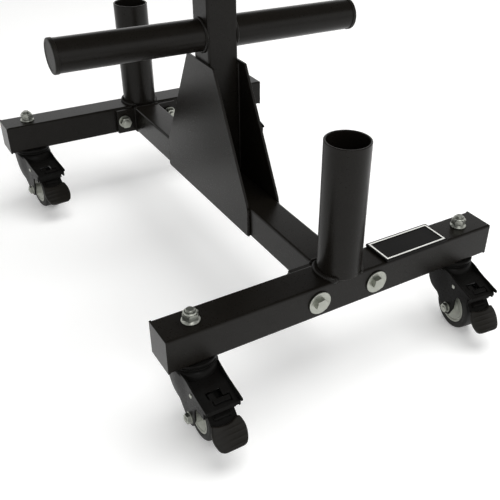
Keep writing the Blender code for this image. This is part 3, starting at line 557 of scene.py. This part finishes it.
def make_holders():
    """Bar holders: open pipes with a rounded lip, welded all round the foot."""
    for end in ("front", "rear"):
        node = end + "_bar_holder"
        height = span(node)[2]
        inner = HOLDER_RADIUS - HOLDER_WALL
        wall = [(0, inner), (0, HOLDER_RADIUS), (height, HOLDER_RADIUS), (height, inner)]
        profile = rounded(wall, np.array([0.4, 0.4, 1.3, 1.3]), 5)
        foot = middle(node)
        foot[2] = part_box(node)[0].z
        frame_piece(node, [turned(profile, "Z", 128, looped=True)], place=foot)
        welds = foot_beads() + [foot_fill(-1), foot_fill(1)]
        set_in_place(node + "_weld", welds, POWDER, "frame", "powder_coat", place=foot)


def make_badge():
    """Blank name plate: a black edge, a raised white frame set in from it, and a sunk black field."""
    size = span("badge_plate")
    low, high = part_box("badge_plate")
    length = size[0] - BADGE_TRIM
    foot = [low.x + length / 2 * MM, (low.y + high.y) / 2, low.z]
    rings = [(0, 0), (3.0, 0), (3.3, 0.1), (3.5, 0.4), (3.5, 5.6), (3.1, 5.9), (3.0, 6.8), (3.0, 20)]
    frame_piece("badge_plate", [stepped(length, size[1], rings)], ENAMEL, "badge", foot)
    ring = [(3.3, 2.5), (3.8, 2.6), (3.9, 2.8), (3.9, 4.7), (3.8, 4.9), (3.3, 5.0)]
    line = stepped(length, size[1], ring, looped=True)
    set_in_place("badge_frame", [line], WHITE, "frame", "badge", place=foot)


def washer(low, high, radius, bore, along):
    """A flat washer whose outer edge is rounded by the press."""
    wall = [(low, bore), (low, radius), (high, radius), (high, bore)]
    return turned(rounded(wall, np.array([0.3, 0.8, 0.8, 0.3]), 4), along, 96, looped=True)


def make_flange_bolts():
    """Bolts through the cross tubes and flanges: hex head on a wide washer in front, washer and nut behind."""
    for end, sign in (("front", 1), ("rear", -1)):
        for side in ("left", "right"):
            node = end + "_flange_bolt_" + side
            low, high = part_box(node)
            face = (low.y if sign > 0 else high.y) + sign * HEAD_REACH * MM
            parts = [washer(-2.8, -0.3, HEAD_WASHER, BOLT_RADIUS, "Y")]
            parts.append(hexagon(-9.5, -2.8, HEAD_FLATS, "Y", top=False, twist=HEAD_TURN))
            parts.append(turned([(-2.9, BOLT_RADIUS), (61, BOLT_RADIUS)], "Y", 48))
            parts.append(washer(58.6, 61.1, NUT_WASHER, BOLT_RADIUS, "Y"))
            parts.append(hexagon(61.1, 71.1, HEX_FLATS, "Y", low_cut=False))
            parts.append(threaded(70.5, 74.1, BOLT_RADIUS, BOLT_PITCH, "Y"))
            parts = [(points * (1, sign, 1), faces) for points, faces in parts]
            place = middle(node)
            place[1] = face
            set_in_place(node + "_form", parts, ZINC, "frame", "zinc", (node,), place)


# ---- casters ----

def caster_place(corner):
    """The stem's place at the tube's underside in metres, and the caster's heading from its wheel's axis."""
    axis = JOINTS[corner + "_wheel_spin"]["axis"]
    return JOINTS[corner + "_swivel"]["pos_m"], math.atan2(axis[1], axis[0])


def stem_nut(twist):
    """Flange nut and its nylon collar: a cone with a rounded rim, a hexagon at a twist about Z and a domed ring; Z 0
    is the tube's top."""
    flange = [(0.3, 6.2), (0.3, 12.3), (1.8, 12.3), (5.0, 9.4), (5.0, 6.2)]
    flange = rounded(flange, np.array([0.2, 0.7, 0.8, 0.8, 0.2]), 5)
    collar = [(12.0, 6.3), (12.4, 9.0), (13.3, 8.9), (14.6, 8.1), (15.2, 7.1), (15.0, 6.3)]
    collar = rounded(collar, np.array([0.1, 0.2, 0.4, 0.6, 0.4, 0.2]), 4)
    return [turned(flange, "Z", 96, looped=True), hexagon(3.4, 12.5, HEX_FLATS, "Z", low_cut=False, twist=twist),
            turned(collar, "Z", 96, looped=True)]


def race_shells():
    """Upper race under the tube with the gap of its ball row, and the riveted head of the king pin under the fork."""
    wall = [(-0.3, 5.9), (-0.3, 29.8), (-4.6, 30.0), (-5.1, 28.4), (-5.9, 28.4), (-6.4, 30.0), (-9.0, 29.8),
            (-9.0, 5.9)]
    race = rounded(wall, np.array([0.2, 1.6, 1.2, 0.3, 0.3, 1.0, 1.2, 0.2]), 5)
    pin = turned([(-1, 6), (-25, 6)], "Z", 48)
    head = turned([(-25.0, 10.0), (-26.6, 9.8), (-27.8, 9.0), (-28.5, 7.6), (-28.5, 3.0), (-28.0, 1.0)], "Z", 64)
    return [turned(race, "Z", 128, looped=True), pin, head]


def crown_shell():
    """Crown of the fork: a profile turned about the stem that swells towards its foot, held within the cheeks by a
    limit on X that tightens from the race down to the cheeks' planes."""
    wall = [(-9.5, 6.5), (-9.5, 26.5), (-10.6, 28.8), (-13.0, 31.0), (-17.0, 32.6), (-22.3, 33.2), (-22.6, 6.5)]
    points, faces = turned(rounded(wall, np.array([0.3, 1.0, 1.2, 2.0, 2.2, 0.4, 0.2]), 6), "Z", 160, looped=True)
    limit = np.interp(points[:, 2], (-18.5, -11.5), (FORK_HALF - 0.2, 31.0))
    points[:, 0] = np.clip(points[:, 0], -limit, limit)
    return points, faces


def cheek_outline():
    """A fork cheek as (y, z): an upper edge that climbs to the crown, down to a small hook at the nose, a notch, the
    arm, the round boss about the axle, and the rear edge."""
    points = [(FORK_REAR, -20.0), (14.0, -13.0), (-27.0, -12.5), (-44.0, -18.0), (-FORK_REACH, -24.6),
              (-FORK_REACH, -29.0), (-78.25, -29.0), (-78.25, -41.0), (-54.5, -42.0), (-51.0, -50.4), (-51.0, -66.5)]
    behind = [(-8.0, -62.0), (3.0, -59.0), (10.0, -54.0), (14.5, -46.0), (17.5, -35.0)]
    away = (behind[0][0] + TRAIL, behind[0][1] + AXLE_DROP)
    tangent = math.degrees(math.atan2(away[1], away[0]) - math.acos(BOSS_RADIUS / math.hypot(*away)))
    turn = np.radians(np.linspace(222, 360 + tangent, 28))
    boss = np.column_stack([-TRAIL + BOSS_RADIUS * np.cos(turn), -AXLE_DROP + BOSS_RADIUS * np.sin(turn)])
    first = rounded(points, np.array([3, 8, 10, 12, 1.8, 1.6, 1.0, 1.5, 2.0, 4.0, 3.0]), 5, closed=False)
    last = rounded(behind, np.array([1.0, 4.0, 4.0, 4.0, 4.0]), 4, closed=False)
    return np.concatenate([first, boss, last])


def shrunk(outline, centre, share):
    """The outline drawn towards a centre by a share, for the inner rings of a face."""
    return centre + (outline - centre) * share


def cheek_shell(side):
    """A fork cheek pressed from sheet. Both faces are rings of its outline shrunk towards a middle point, with a
    quarter round between them, and near the swivel head it swells outwards by a smooth step of y times one of z."""
    outline, centre = cheek_outline(), np.array([-30.0, -42.0])
    edge = rounded_ends(FORK_HALF - FORK_SHEET, FORK_HALF, 0.7)
    shares = np.linspace(0.04, 0.96, 14)
    layers = [(level, inset(outline, depth)) for level, depth in edge]
    inner = [(layers[0][0], shrunk(layers[0][1], centre, share)) for share in shares]
    outer = [(layers[-1][0], shrunk(layers[-1][1], centre, share)) for share in shares[::-1]]
    grid = np.array([np.column_stack([np.full(len(ring), level), ring]) for level, ring in inner + layers + outer])
    behind = np.clip((grid[..., 1] + 34) / 40, 0, 1)
    above = np.clip((grid[..., 2] + 78) / 45, 0, 1)
    grid[..., 0] += CHEEK_SWELL * behind ** 2 * (3 - 2 * behind) * above ** 2 * (3 - 2 * above)
    return skin(grid * (side, 1, 1))


def web_level(y):
    """Level of the fork's pressed top at a y: flat under the crown, then falling to the nose."""
    return -CROWN_FLOOR - WEB_FALL * max(0.0, -y - NOSE_SLOPE_START)


def fork_shells():
    """Fork: crown with the lower race, pressed top with its stepped window and short lip, and two cheeks."""
    windows = (((-64.0, -53.0), (-11.5, 8.5)), ((-75.5, -64.0), (-8.5, 16.8)))
    line = [(y, web_level(y)) for y in (FORK_REAR, -NOSE_SLOPE_START, -53.0, -64.0, -75.5, -79.5)]
    line += [(-80.6, web_level(-79.5) - 4.6)]
    path = rounded(line, np.array([0, 6.0, 0, 0, 0, 1.2, 0]), 5, closed=False)
    half = FORK_HALF - 1.2
    columns = np.array([-half, -11.5, -8.5, 8.5, 16.8, half])
    return [crown_shell(), pressed(path, columns, -FORK_SHEET, windows), cheek_shell(-1), cheek_shell(1)]


def moved(shells, offset):
    """The same shells, shifted by an offset in millimetres."""
    return [(points + np.asarray(offset, float), faces) for points, faces in shells]


def axle_shells():
    """Axle bolt: a hex nut and thread end at one side, a hex head at the other, each on a small washer."""
    out = FORK_HALF + 0.3
    shells = [turned([(-out, AXLE_RADIUS), (out, AXLE_RADIUS)], "X", 40)]
    shells.append(hexagon(-out - 5.5, -out, AXLE_FLATS, "X", top=False))
    shells.append(threaded(-out - 7.0, -out - 5.0, AXLE_RADIUS, 1.25, "X"))
    shells.append(hexagon(out, out + 5.5, AXLE_FLATS, "X", low_cut=False))
    for low, high in ((-out, -out + 1.0), (out - 1.0, out)):
        shells.append(washer(low, high, 8.2, AXLE_RADIUS, "X"))
    return shells


def rim_shells():
    """Wheel centre: long hub, dished web with a groove near its edge, the same on both faces."""
    half = [(22.5, 4.3), (22.5, 8.3), (22.0, 9.0), (13.0, 9.6), (11.4, 11.0), (11.0, 12.5), (11.3, 14.5),
            (13.9, 20.6), (14.3, 21.6), (12.9, 22.2), (12.9, 23.2), (14.6, 23.8), (15.0, 24.4), (15.0, 26.4),
            (14.5, 27.0)]
    profile = np.array([(-level, radius) for level, radius in half] + half[::-1])
    return [turned(rounded(profile, 0.5, 3), "X", 128, looped=True)]


def tyre_shells():
    """Tyre: flat sides with a moulded step, round shoulders and a barely crowned tread with a parting line."""
    half = [(15.5, 27.3), (15.5, 28.6), (15.1, 29.1), (15.2, 33.4), (14.6, 35.2), (13.2, 36.6), (11.4, 37.2),
            (6.0, 37.45), (0.25, 37.45), (0.0, 37.5)]
    profile = np.array(half + [(-level, radius) for level, radius in reversed(half[:-1])])
    return [turned(rounded(profile, 0.6, 3), "X", 144, looped=True)]


def pedal_point(along, inward):
    """(y, z) from the stem, measured down the pedal's face and in from it."""
    top = (-FORK_REACH, STRIP_LOW + PEDAL_RISE)
    y = top[0] - along * math.cos(PEDAL_SLOPE) + inward * math.sin(PEDAL_SLOPE)
    z = top[1] - along * math.sin(PEDAL_SLOPE) - inward * math.cos(PEDAL_SLOPE)
    return y, z


def pedal_outline():
    """The pedal's outline as (x, along), evenly spaced: barrelled sides, wide round lower corners, and a top edge
    scooped out in a shallow arc where the lever enters."""
    half = PEDAL_HALF
    points = [(-half + 3.5, 0.5), (-13, 4.2), (0, 5.6), (6.5, 4.8), (12, 1.4), (half - 4.5, 0.5), (half, 12),
              (half, 24), (half - 5.5, PEDAL_LENGTH), (-half + 5.5, PEDAL_LENGTH), (-half, 24), (-half, 11)]
    line = rounded(np.array(points) + (PEDAL_SHIFT, 0), np.array([3.5, 4, 4, 2.5, 2.5, 5, 6, 6, 9, 9, 6, 5]), 8)
    loop = np.vstack([line, line[:1]])
    run = np.concatenate([[0], np.cumsum(np.hypot(*np.diff(loop, axis=0).T))])
    place = np.linspace(0, run[-1], 176, endpoint=False)
    return np.column_stack([np.interp(place, run, loop[:, 0]), np.interp(place, run, loop[:, 1])])


def pedal_shells():
    """Moulded pedal: rings of the outline from its middle out over the face, round the edge, down the skirt, up
    inside it and back over the hollow's roof. The face is crowned across by a parabola of X, and each ridge is a
    narrow bell of the distance down the face."""
    outline, centre, edge = pedal_outline(), np.array([PEDAL_SHIFT, 20.5]), 2.0
    face = inset(outline, edge)
    rings = [(shrunk(face, centre, share), 0.3) for share in np.linspace(0.03, 1, 44)]
    for turn in np.linspace(0, np.pi / 2, 7)[1:]:
        rings.append((inset(outline, edge * (1 - math.sin(turn))), 0.3 + edge * (1 - math.cos(turn))))
    layers = []
    for ring, inward in rings:
        x, along = ring.T
        crown = PEDAL_CROWN * (1 - 2 * ((x - PEDAL_SHIFT) / PEDAL_HALF) ** 2)
        bells = np.exp(-((along[:, None] - np.array(RIDGES)) / RIDGE_WIDTH) ** 2).sum(1)
        ridge = RIDGE_HEIGHT * bells if inward < 0.4 else 0.0
        layers.append(np.column_stack([x, *pedal_point(along, inward - ridge - crown)]))
    for depth, inward in ((0.0, PEDAL_DEPTH - 0.5), (0.4, PEDAL_DEPTH), (1.6, PEDAL_DEPTH), (2.0, PEDAL_DEPTH - 0.5),
                          (2.2, PEDAL_SKIN + 0.4)):
        x, along = inset(outline, depth).T
        level = PEDAL_SKIN + (inward - PEDAL_SKIN) * np.clip((along - 6.5) / 4.0, 0, 1)
        layers.append(np.column_stack([x, *pedal_point(along, level)]))
    for share in (0.85, 0.4, 0.05):
        x, along = shrunk(face, centre, share).T
        layers.append(np.column_stack([x, *pedal_point(along, PEDAL_SKIN)]))
    return [skin(np.array(layers))]


def bridge_point(forward, below):
    """(y, z) from the stem, under the fork's sloping top."""
    return -forward, web_level(-forward) - FORK_SHEET - 1.6 - below


def arc(centre, radius, start, end, steps):
    """Points of an arc about a centre between two angles in degrees."""
    turn = np.radians(np.linspace(start, end, steps))
    return np.asarray(centre) + radius * np.column_stack([np.cos(turn), np.sin(turn)])


def lever_shells():
    """Brake lever: cheeks on the pin, a bridge and its flange under the fork's top, the bar and tab that stand up
    into the window, the strip ahead of the flange, and the cranked tongue that carries the pedal."""
    pin = (-PIN_FORWARD, -PIN_DROP)
    outline = np.vstack([arc(pin, 3.8, 0, 90, 8), [bridge_point(64, 0), bridge_point(73, 0), bridge_point(73, 6)],
                         arc(pin, 3.8, 270, 345, 7)])
    shells = [plate(outline, low, low + LEVER_SHEET, 0.3, "X") for low in (-LEVER_HALF, LEVER_HALF - LEVER_SHEET)]
    bridge = [bridge_point(62, 0), bridge_point(73, 0), bridge_point(73, LEVER_SHEET), bridge_point(62, LEVER_SHEET)]
    shells.append(plate(rounded(bridge, 0.4, 2), -LEVER_HALF + 0.5, LEVER_HALF - 0.5, 0.3, "X"))
    bar = [(-65.2, web_level(-65.2) - 0.4), (-70.6, web_level(-70.6) - 0.4), bridge_point(70.6, 0.5),
           bridge_point(65.2, 0.5)]
    shells.append(plate(rounded(bar, np.array([0.7, 0.7, 0.2, 0.2]), 3), -7.0, 16.0, 0.4, "X"))
    tab = [(-55.0, web_level(-55) - 1.3), (-66.5, web_level(-66.5) - 1.3), (-66.5, web_level(-66.5) - 2.9),
           (-55.0, web_level(-55) - 2.9)]
    shells.append(plate(rounded(tab, 0.4, 3), -9.0, -1.0, 0.3, "X"))
    front, depth = -FORK_REACH + 4.9, PEDAL_SKIN + 0.3
    flange = [(-74.2, STRIP_LOW + 15.0), (-74.2, STRIP_LOW + 5.6), (-72.6, STRIP_LOW + 5.6),
              (-72.6, STRIP_LOW + 15.0)]
    shells.append(plate(rounded(flange, 0.4, 2), -LEVER_HALF + 0.5, LEVER_HALF - 0.5, 0.3, "X"))
    line = [(-73.0, STRIP_LOW + 6.2), (-76.0, STRIP_LOW + 5.4), (front, STRIP_LOW + 3.8), (front, STRIP_LOW - 0.6)]
    shells.append(plate(ribbon(rounded(line, 1.2, 4, closed=False), -LEVER_SHEET), -STRIP_HALF, STRIP_HALF, 0.3, "X"))
    line = [bridge_point(68, 0.8), bridge_point(71, 0.8), (-72.5, STRIP_LOW + 6.0), pedal_point(4.0, depth + 2.5),
            pedal_point(8.5, depth), pedal_point(PEDAL_LENGTH - 8.8, depth)]
    shells.append(plate(ribbon(rounded(line, 1.5, 4, closed=False), -LEVER_SHEET), -18.5, 18.5, 0.3, "X"))
    return shells


def make_casters():
    """Four swivel casters, each turned to its own heading."""
    race, fork, axle = race_shells(), fork_shells(), axle_shells()
    rim, tyre, lever, pedal = rim_shells(), tyre_shells(), lever_shells(), pedal_shells()
    axle_at, pin_at = (0, -TRAIL, -AXLE_DROP), (0, -PIN_FORWARD, -PIN_DROP)
    dome = [(0.0, 3.25), (0.7, 3.1), (1.2, 2.2), (1.2, 0.4)]
    rivet = []
    for sign in (-1, 1):
        shell = turned([(sign * (FORK_HALF + 0.1 + level), radius) for level, radius in dome], "X", 40)
        rivet += moved([shell], pin_at)
    stud = [threaded(TUBE + 8, TUBE + 17.7, BOLT_RADIUS, BOLT_PITCH)]
    for corner in CORNERS:
        place, heading = caster_place(corner)
        top = (place[0], place[1], place[2] + TUBE * MM)
        at = {"place": place, "heading": heading}
        nut = stem_nut(math.radians(NUT_TURNS[corner]))
        rows = [("stem_nut_form", nut, ZINC, "frame", "zinc", ("stem_nut",), {"place": top}),
                ("stud_end", stud, ZINC, "frame", "zinc", (), {"place": place}),
                ("upper_race", race, GLOSS, "frame", "black_steel", ("caster_stem",), {"place": place}),
                ("fork_form", fork, GLOSS, "fork", "black_steel", ("caster_fork",), {"bevel": 0.5, **at}),
                ("axle_form", moved(axle, axle_at), ZINC, "fork", "zinc", ("axle_bolt",), at),
                ("rim_form", moved(rim, axle_at), RIM, "wheel", "grey_rim", ("wheel_rim",), at),
                ("tyre_form", moved(tyre, axle_at), TYRE, "wheel", "tyre", ("tyre",), at),
                ("lever_form", lever, GLOSS, "brake", "black_steel", ("brake_lever",), at),
                ("pivot_rivet", rivet, ZINC, "brake", "zinc", (), at),
                ("pedal_form", pedal, PLASTIC, "brake", "black_plastic", ("brake_pedal",), at)]
        for name, shells, material, body, slot, nodes, how in rows:
            body = body if body == "frame" else corner + "_" + body
            nodes = [corner + "_" + node for node in nodes]
            set_in_place(corner + "_" + name, shells, material, body, slot, nodes, **how)


make_cross_tubes()
make_centre_tube()
make_gussets()
make_mast()
make_pegs()
make_holders()
make_badge()
make_flange_bolts()
make_casters()


# ---- studio ----

def make_floor():
    """A pale floor. What the camera, a reflection or clear glass sees of it is lifted to white by a little added
    light, and the object's shadow stays on it."""
    material = bpy.data.materials.new("pale_studio_floor")
    material.use_nodes = True
    tree = material.node_tree
    tree.nodes.clear()
    plain = add_node(tree, "ShaderNodeBsdfDiffuse", {"Color": linear("e7e7e6")})
    bright = add_node(tree, "ShaderNodeBsdfDiffuse", {"Color": linear("fcfcfb")})
    lift = add_node(tree, "ShaderNodeEmission", {"Color": (1, 1, 1, 1), "Strength": 0.17})
    seen = add_node(tree, "ShaderNodeAddShader", links={0: bright.outputs[0], 1: lift.outputs[0]})
    rays = add_node(tree, "ShaderNodeLightPath")
    either = add_node(tree, "ShaderNodeMath", operation="MAXIMUM",
                      links={0: rays.outputs["Is Camera Ray"], 1: rays.outputs["Is Glossy Ray"]})
    either = add_node(tree, "ShaderNodeMath", operation="MAXIMUM",
                      links={0: either.outputs[0], 1: rays.outputs["Is Transmission Ray"]})
    shown = add_node(tree, "ShaderNodeMixShader",
                     links={0: either.outputs[0], 1: plain.outputs[0], 2: seen.outputs[0]})
    add_node(tree, "ShaderNodeOutputMaterial", links={"Surface": shown.outputs[0]})
    mesh = bpy.data.meshes.new("studio_floor")
    mesh.from_pydata([(-8, -8, 0), (8, -8, 0), (8, 8, 0), (-8, 8, 0)], [], [(0, 1, 2, 3)])
    mesh.materials.append(material)
    floor = bpy.data.objects.new("studio_floor", mesh)
    bpy.context.collection.objects.link(floor)


def make_world(low_level, high_level):
    """Pale light from a sweep that is bright up to about 26 degrees above the horizon and falls off by 34 degrees to
    a dim ceiling; the camera sees it as white."""
    world = bpy.data.worlds.new("studio")
    bpy.context.scene.world = world
    world.use_nodes = True
    tree = world.node_tree
    tree.nodes.clear()
    rays = add_node(tree, "ShaderNodeLightPath")
    way = add_node(tree, "ShaderNodeTexCoord").outputs["Generated"]
    rise = add_node(tree, "ShaderNodeSeparateXYZ", links={"Vector": way}).outputs["Z"]
    level = add_node(tree, "ShaderNodeMapRange", {"From Min": 0.44, "From Max": 0.56, "To Min": low_level,
                                                  "To Max": high_level}, {"Value": rise})
    soft = add_node(tree, "ShaderNodeBackground", {"Color": (1, 1, 1, 1)}, {"Strength": level.outputs["Result"]})
    white = add_node(tree, "ShaderNodeBackground", {"Color": (1, 1, 1, 1), "Strength": 1.0})
    shown = add_node(tree, "ShaderNodeMixShader",
                     links={0: rays.outputs["Is Camera Ray"], 1: soft.outputs[0], 2: white.outputs[0]})
    add_node(tree, "ShaderNodeOutputWorld", links={"Surface": shown.outputs[0]})


def add_lamp(name, place, target, size, power, mirrored=True):
    """A soft rectangular lamp at a place in metres, facing a target. Unless it is mirrored, gloss doesn't show it."""
    data = bpy.data.lights.new(name, "AREA")
    data.shape, data.size, data.size_y, data.energy = "RECTANGLE", size[0], size[1], power
    lamp = bpy.data.objects.new(name, data)
    lamp.visible_glossy = mirrored
    bpy.context.collection.objects.link(lamp)
    place, target = np.array(place, float), np.array(target, float)
    back = (place - target) / np.linalg.norm(place - target)
    right = np.cross((0, 0, 1), back)
    right /= np.linalg.norm(right)
    turn = np.stack([right, np.cross(back, right), back], 1)
    lamp.matrix_world = Matrix.Translation(place.tolist()) @ Matrix(turn.tolist()).to_4x4()


def make_camera():
    """The photograph's camera, from a fit of the tubes' corners: a 52 mm lens at eye height 720 mm. The picture is
    cut from a wider one, so its axis lies right of and below the middle by the shift."""
    data = bpy.data.cameras.new("photo_camera")
    data.sensor_width, data.lens = 36.0, 51.574
    data.shift_x, data.shift_y = -0.13143, 0.02555
    data.clip_start, data.clip_end = 0.05, 50
    camera = bpy.data.objects.new("photo_camera", data)
    bpy.context.collection.objects.link(camera)
    right = np.array([0.828731, -0.558041, 0.042384])
    down = np.array([-0.284716, -0.485598, -0.826518])
    ahead = np.array([0.481812, 0.672893, -0.561313])
    turn = Matrix(np.stack([right, -down, -ahead], 1).tolist()).to_4x4()
    camera.matrix_world = Matrix.Translation((-0.49972, -0.95481, 0.71971)) @ turn
    bpy.context.scene.camera = camera


make_floor()
make_world(1.15, 0.10)
add_lamp("front_softbox", (-0.6, -2.2, 2.0), (0, 0, 0.2), (1.3, 1.3), 10)
add_lamp("small_softbox", (-0.42, -2.25, 1.6), (-0.2, -0.3, 0.1), (0.35, 0.35), 4)
add_lamp("top_softbox", (0.94, -0.1, 3.0), (0, 0, 0.1), (3.0, 3.0), 84, mirrored=False)
make_camera()
bpy.context.scene.view_settings.view_transform = "Standard"
